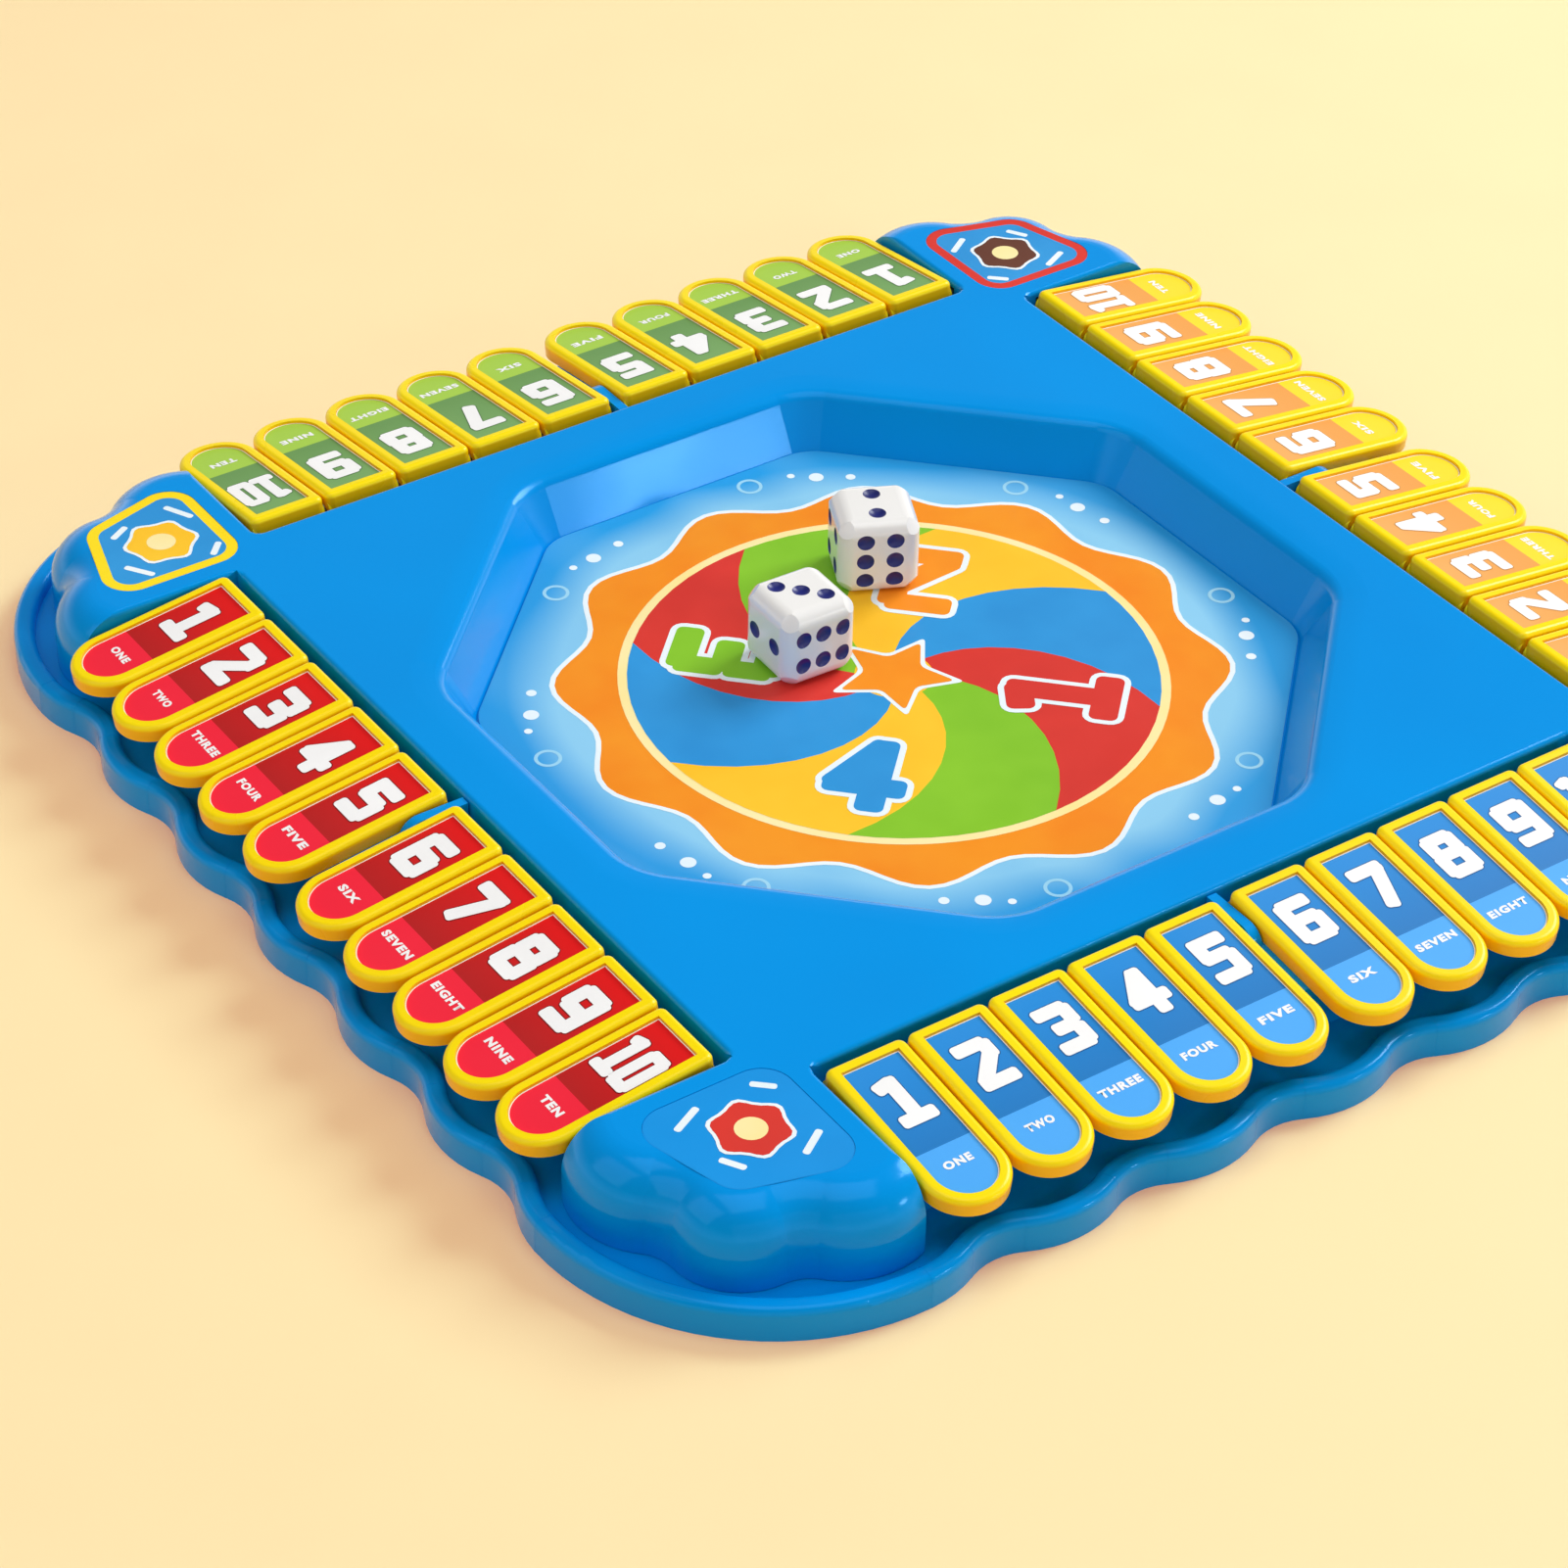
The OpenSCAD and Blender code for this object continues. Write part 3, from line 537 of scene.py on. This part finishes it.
def tile_face(number):
    """The printed face of one tile about its hinge: x across the tile, y towards the hinge end."""
    begin()
    length = FACE_ROUND + FACE_HALF - FACE_START
    bpy.ops.mesh.primitive_plane_add(size=MM)
    label = bpy.context.object
    half = FACE_HALF - LABEL_GAP
    for vert in label.data.vertices:
        top = vert.co.y > 0
        vert.co = Vector((
            math.copysign(half, vert.co.x),
            -FACE_START - LABEL_GAP if top else -FACE_START - length + LABEL_GAP,
            FACE_Z + 0.05,
        )) * MM
    bpy.ops.object.mode_set(mode="EDIT")
    bm = bmesh.from_edit_mesh(label.data)
    for vert in bm.verts:
        vert.select = vert.co.y < 0
    bm.select_flush_mode()
    bmesh.update_edit_mesh(label.data)
    bpy.ops.mesh.bevel(offset=(half - 0.01) * MM, segments=14, affect="VERTICES")
    bpy.ops.mesh.select_all(action="SELECT")
    bpy.ops.mesh.inset(thickness=LABEL_BORDER * MM)
    bm = bmesh.from_edit_mesh(label.data)
    for face in bm.faces:
        face.material_index = 1 if face.select else 0
    bmesh.update_edit_mesh(label.data)
    bpy.ops.mesh.select_all(action="SELECT")
    bpy.ops.mesh.bisect(plane_co=(0, LABEL_SPLIT * MM, 0), plane_no=(0, 1, 0))
    bm = bmesh.from_edit_mesh(label.data)
    for face in bm.faces:
        if face.material_index == 1 and face.calc_center_median().y < LABEL_SPLIT * MM:
            face.material_index = 2
    bmesh.update_edit_mesh(label.data)
    bpy.ops.object.mode_set(mode="OBJECT")
    inks = face_inks("blue")
    give_ink(label, *inks)
    word = WORDS[number - 1]
    lettering = word_mesh(word, WORD_HEIGHT, 0.9 + 1.55 * len(word), (0.0, WORD_Y, FACE_Z + 0.1))
    set_slot(lettering, 3, inks)
    narrow = 0.62 if number > 9 else 1.0
    layers = figure(number, (0.0, NUMBER_Y), NUMBER_HEIGHT, narrow, FACE_Z + 0.06, (3, 4), 0.2, inks)
    return join_pieces(f"face_{number}", [label, lettering] + layers)


def row_place(k, number):
    """Where a tile's face goes: from the face's own frame to the row."""
    u = (number - 5.5) * PITCH + math.copysign(MID_GAP / 2, number - 5.5)
    return (
        Matrix.Rotation(math.radians(90 * k - 90), 4, "Z")
        @ Matrix.Translation(Vector((PIN_OUT, u, PIN_Z)) * MM)
        @ Matrix.Rotation(math.radians(TILE_TILT), 4, "Y")
        @ Matrix.Rotation(math.radians(90), 4, "Z")
    )


def make_tile_faces():
    for number in range(1, 11):
        pattern = tile_face(number)
        for k, row in enumerate(ROWS):
            piece = pattern.copy()
            piece.data = pattern.data.copy()
            bpy.context.collection.objects.link(piece)
            for i, mat in enumerate(face_inks(row)):
                piece.data.materials[i] = mat
            piece.matrix_world = row_place(k, number)
            body = f"{row}_tile_{number}"
            finish_piece(piece, f"{body}_face")
            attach(piece, body)
        bpy.data.objects.remove(pattern, do_unlink=True)


# Corner badges

def star_sheet(points, outer, inner, centre, z, turn=0.0, rounding=0.8):
    """A flat star, made from a circle whose every second point moves in."""
    begin()
    bpy.ops.mesh.primitive_circle_add(vertices=2 * points, radius=0.01, fill_type="NGON")
    obj = bpy.context.object
    for i, vert in enumerate(obj.data.vertices):
        a = turn + math.pi * i / points
        r = outer if i % 2 == 0 else inner
        vert.co = Vector((centre[0] + r * math.cos(a), centre[1] + r * math.sin(a), z)) * MM
    bpy.ops.object.mode_set(mode="EDIT")
    bpy.ops.mesh.select_all(action="SELECT")
    bpy.ops.mesh.bevel(offset=rounding * MM, segments=3, affect="VERTICES")
    bpy.ops.object.mode_set(mode="OBJECT")
    return obj


def make_badge(corner):
    """Sticker on one corner pod: a coloured ring, a blue ground with foam strokes, and a flower."""
    quarters, ring, ground, petal = BADGES[corner]
    name = f"badge_{corner}_print"
    z = BADGE_Z + 0.02
    inks = [sign_inks[n] for n in (ring, ground, "foam", petal, "pale")]
    sheet = soft_sheet(BADGE_MIDDLES, BADGE_R - 0.1, z)
    give_ink(sheet, *inks)
    inset_sheet(sheet, [(2.1, 1)])
    strokes = [((92.0, 107.2), (96.2, 110.0)), ((105.6, 91.8), (110.4, 94.2)), ((91.8, 94.0), (94.2, 91.8)),
               ((106.8, 107.4), (108.6, 104.4))]
    foam = bars_object([(a, b, 0.65) for a, b in strokes], z, z + 0.03, 0.5)
    set_slot(foam, 2, inks)
    back = star_sheet(6, 8.4, 6.0, BADGE_MIDDLE, z + 0.05, turn=0.3, rounding=2.2)
    set_slot(back, 2, inks)
    flower = star_sheet(6, 7.7, 5.3, BADGE_MIDDLE, z + 0.07, turn=0.3, rounding=2.2)
    set_slot(flower, 3, inks)
    eye = soft_sheet([BADGE_MIDDLE], 2.8, z + 0.09, 24)
    set_slot(eye, 4, inks)
    piece = join_pieces(name, [sheet, foam, back, flower, eye])
    piece.matrix_world = Matrix.Rotation(math.radians(90 * quarters), 4, "Z")
    finish_piece(piece, name)
    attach(piece, "tray")


# Printed card in the pit

def swirl_wheel(radius, z, inks):
    """A pinwheel: a disc cut into eight sectors by insets, then twisted about its middle."""
    wheel = soft_sheet([(0.0, 0.0)], radius, z, 64)
    give_ink(wheel, *inks)
    bpy.ops.object.mode_set(mode="EDIT")
    bpy.ops.mesh.select_all(action="SELECT")
    for _ in range(10):
        bpy.ops.mesh.inset(thickness=radius * 0.085 * MM)
    bpy.ops.object.mode_set(mode="OBJECT")
    order = (5, 4, 2, 6, 5, 4, 2, 6)
    for face in wheel.data.polygons:
        turn = math.atan2(face.center.y, face.center.x) % (2 * math.pi)
        face.material_index = order[int(turn / (math.pi / 4)) % 8]
    for vert in wheel.data.vertices:
        r = math.hypot(vert.co.x, vert.co.y) / MM
        vert.co = Matrix.Rotation(1.1 * (1 - r / radius), 3, "Z") @ vert.co
    return wheel


def bubble(centre, radius, width, z, inks):
    """A flat ring: a circle of edges pulled inwards."""
    begin()
    bpy.ops.mesh.primitive_circle_add(vertices=40, radius=radius * MM, fill_type="NOTHING",
                                      location=(centre[0] * MM, centre[1] * MM, z * MM))
    obj = bpy.context.object
    bpy.ops.object.transform_apply(location=True)
    bpy.ops.object.mode_set(mode="EDIT")
    bpy.ops.mesh.select_all(action="SELECT")
    bpy.ops.mesh.extrude_edges_move()
    small = 1 - width / radius
    bpy.ops.transform.resize(value=(small, small, 1), center_override=[c * MM for c in (*centre, z)])
    bpy.ops.mesh.select_all(action="SELECT")
    bpy.ops.mesh.normals_make_consistent(inside=False)
    bpy.ops.object.mode_set(mode="OBJECT")
    set_slot(obj, 7, inks)
    return obj


def make_card_print():
    """A scalloped disc with a pinwheel, four numbers, a star and bubbles round it."""
    z = CARD_Z + 0.03
    inks = [sign_inks[n] for n in ("foam", "orange", "red", "pale", "green", "yellow", "blue", "wave")]
    disc = soft_sheet([(0.0, 0.0)], DISC_R, z, 144)
    for vert in disc.data.vertices:
        a = math.atan2(vert.co.y, vert.co.x)
        r = DISC_R + DISC_WAVE * math.cos(12 * a)
        vert.co = Vector((r * math.cos(a), r * math.sin(a), z)) * MM
    give_ink(disc, *inks)
    inset_sheet(disc, [(1.0, 1)])
    band = soft_sheet([(0.0, 0.0)], BAND_R, z + 0.03, 96)
    set_slot(band, 3, inks)
    pieces = [disc, band, swirl_wheel(WHEEL_R, z + 0.06, inks)]
    for i, (slot, number) in enumerate(((2, 1), (1, 2), (4, 3), (6, 4))):
        a = math.radians(90 * i - 45)
        place = (
            Matrix.Translation(Vector((SPOKE_R * math.cos(a), SPOKE_R * math.sin(a), 0)) * MM)
            @ Matrix.Rotation(a + math.pi / 2, 4, "Z")
        )
        layers = figure(number, (0.0, 0.0), 22.0, 1.0, z + 0.09, (slot, 0), 1.2, inks)
        for layer in layers:
            layer.matrix_world = place
            finish_piece(layer, "figure")
        pieces += layers
    star = star_sheet(5, 13.5, 6.6, (0.0, 0.0), z + 0.09, turn=0.5, rounding=1.2)
    set_slot(star, 0, inks)
    core = star_sheet(5, 11.6, 5.6, (0.0, 0.0), z + 0.12, turn=0.5, rounding=1.2)
    set_slot(core, 1, inks)
    pieces += [star, core]
    for i in range(8):
        a = math.radians(45 * i + 22.5)
        for turn, out, r in ((0.0, 0.0, 1.5), (0.07, 1.5, 0.8), (-0.1, -0.8, 1.0)):
            reach = BUBBLE_R + out
            dot = soft_sheet([(reach * math.cos(a + turn), reach * math.sin(a + turn))], r, z, 20)
            set_slot(dot, 0, inks)
            pieces.append(dot)
        reach = BUBBLE_R + 0.5
        pieces.append(bubble((reach * math.cos(a + 0.2), reach * math.sin(a + 0.2)), 2.6, 0.7, z, inks))
    piece = join_pieces("card_print", pieces)
    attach(piece, "tray")


# Finishes of the solids

def pip_middles():
    """Middles of the balls that hollow out a die's pips, 3 on top, 6 at -Y and 2 at -X."""
    out, long, wide = 0.21 * DIE_W, 0.276 * DIE_W, 0.18 * DIE_W
    four = [(x, y) for x in (-out, out) for y in (-out, out)]
    sides = [
        ((0, 0, 0), [(0, 0), (out, -out), (-out, out)]),
        ((90, 0, 0), [(x, y) for x in (-long, 0, long) for y in (-wide, wide)]),
        ((0, -90, 0), [(0, -out), (0, out)]),
        ((0, 90, 0), four + [(0, 0)]),
        ((-90, 0, 0), [(0, 0)]),
        ((180, 0, 0), four),
    ]
    lift = DIE_W / 2 - PIP_DEPTH + PIP_R
    return [
        Euler([math.radians(a) for a in turn]).to_matrix() @ Vector((x, y, lift))
        for turn, spots in sides
        for x, y in spots
    ]


def colour_dice():
    """White dice; the faces that lie in a pip take the blue of its paint."""
    middles = pip_middles()
    for name, (x, y, yaw, roll) in DICE.items():
        obj = nodes[name]
        give_ink(obj, die_white, pip_blue)
        into_die = (
            Matrix.Translation(Vector((x, y, CARD_Z + DIE_W / 2)))
            @ Matrix.Rotation(math.radians(yaw), 4, "Z")
            @ Matrix.Rotation(math.radians(roll), 4, "Y")
        ).inverted()
        for face in obj.data.polygons:
            spot = into_die @ (face.center / MM)
            sunk = any((spot - middle).length < PIP_R - 0.0005 for middle in middles)
            face.material_index = 1 if sunk else 0


def dress_solids():
    give_ink(nodes["deck"], tray_blue)
    give_ink(nodes["base"], tray_blue)
    give_ink(nodes["pit_insert"], card_water)
    give_ink(nodes["screws"], steel)
    for row in ROWS:
        give_ink(nodes[f"{row}_rod"], steel)
        for number in range(1, 11):
            give_ink(nodes[f"{row}_tile_{number}"], tile_yellow)
    for corner, (_, ring, _, _) in BADGES.items():
        give_ink(nodes[f"badge_{corner}"], sign_inks[ring])
    colour_dice()


# Studio

def make_stage():
    """A cream floor that glows a little red: painted warm light that keeps its shadows warm."""
    begin()
    bpy.ops.mesh.primitive_plane_add(size=6.0, location=(0, 0, 0))
    floor = bpy.context.object
    floor.name = "floor"
    cream = surface("floor_cream_glow", "D8EAB4", "D7E7AE", 0.55, 0.7, grain=120.0, bump=0.0, scale=0.6)
    shader = cream.node_tree.nodes["Principled BSDF"]
    # Painted light: a red glow keeps the floor's shadows warm; the cream's own red is lowered to match where it is
    # lit.
    shader.inputs["Emission Color"].default_value = (1.0, 0.0, 0.0, 1.0)
    shader.inputs["Emission Strength"].default_value = 0.34
    give_ink(floor, cream)


def add_panel(name, place, aim, size, power, colour=(1.0, 1.0, 1.0)):
    data = bpy.data.lights.new(name, "AREA")
    data.shape = "RECTANGLE"
    data.size, data.size_y = size
    data.energy = power
    data.color = colour
    lamp = bpy.data.objects.new(name, data)
    bpy.context.collection.objects.link(lamp)
    lamp.location = place
    lamp.rotation_euler = (Vector(aim) - Vector(place)).to_track_quat("-Z", "Y").to_euler()


def make_light():
    """Soft panels round a dim world; window is the bright patch on the pit's back wall."""
    world = bpy.data.worlds.new("studio")
    bpy.context.scene.world = world
    world.use_nodes = True
    tree = world.node_tree
    back = tree.nodes["Background"]
    back.inputs["Color"].default_value = (1.0, 0.93, 0.86, 1.0)
    parts = tree.nodes.new("ShaderNodeSeparateXYZ")
    tree.links.new(tree.nodes.new("ShaderNodeTexCoord").outputs["Generated"], parts.inputs[0])
    horizon = spread(tree, parts.outputs["Z"], 0.1, 0.4, 1.4, 0.18)
    glossy = tree.nodes.new("ShaderNodeLightPath").outputs["Is Glossy Ray"]
    tree.links.new(spread(tree, glossy, 0.0, 1.0, 0.3, horizon), back.inputs["Strength"])
    add_panel("key", (1.4, 0.07, 1.13), (0, 0, 0), (0.8, 0.8), 24.0, (0.95, 0.98, 1.0))
    add_panel("top", (-0.05, -0.15, 1.3), (0, 0, 0), (0.9, 0.9), 4.0)
    add_panel("fill", (-0.9, 0.1, 0.8), (0, 0, 0), (0.8, 0.8), 2.4)
    add_panel("front", (-0.3, -1.2, 0.5), (0, 0, 0), (1.4, 0.8), 1.5)
    add_panel("window", (0.459, -0.745, 0.351), (0, 0.077, 0.014), (0.12, 0.09), 0.6)


def make_camera():
    data = bpy.data.cameras.new("camera")
    data.lens = 98.475
    data.sensor_width = 36.0
    data.clip_start = 0.01
    camera = bpy.data.objects.new("camera", data)
    bpy.context.collection.objects.link(camera)
    camera.location = (-0.393177, -0.52473, 0.478914)
    camera.rotation_euler = [math.radians(a) for a in (52.87209, -0.8648, -34.41519)]
    bpy.context.scene.camera = camera
    bpy.context.scene.view_settings.view_transform = "Standard"


dress_solids()
make_tile_faces()
for pod in BADGES:
    make_badge(pod)
make_card_print()
make_stage()
make_light()
make_camera()
begin()
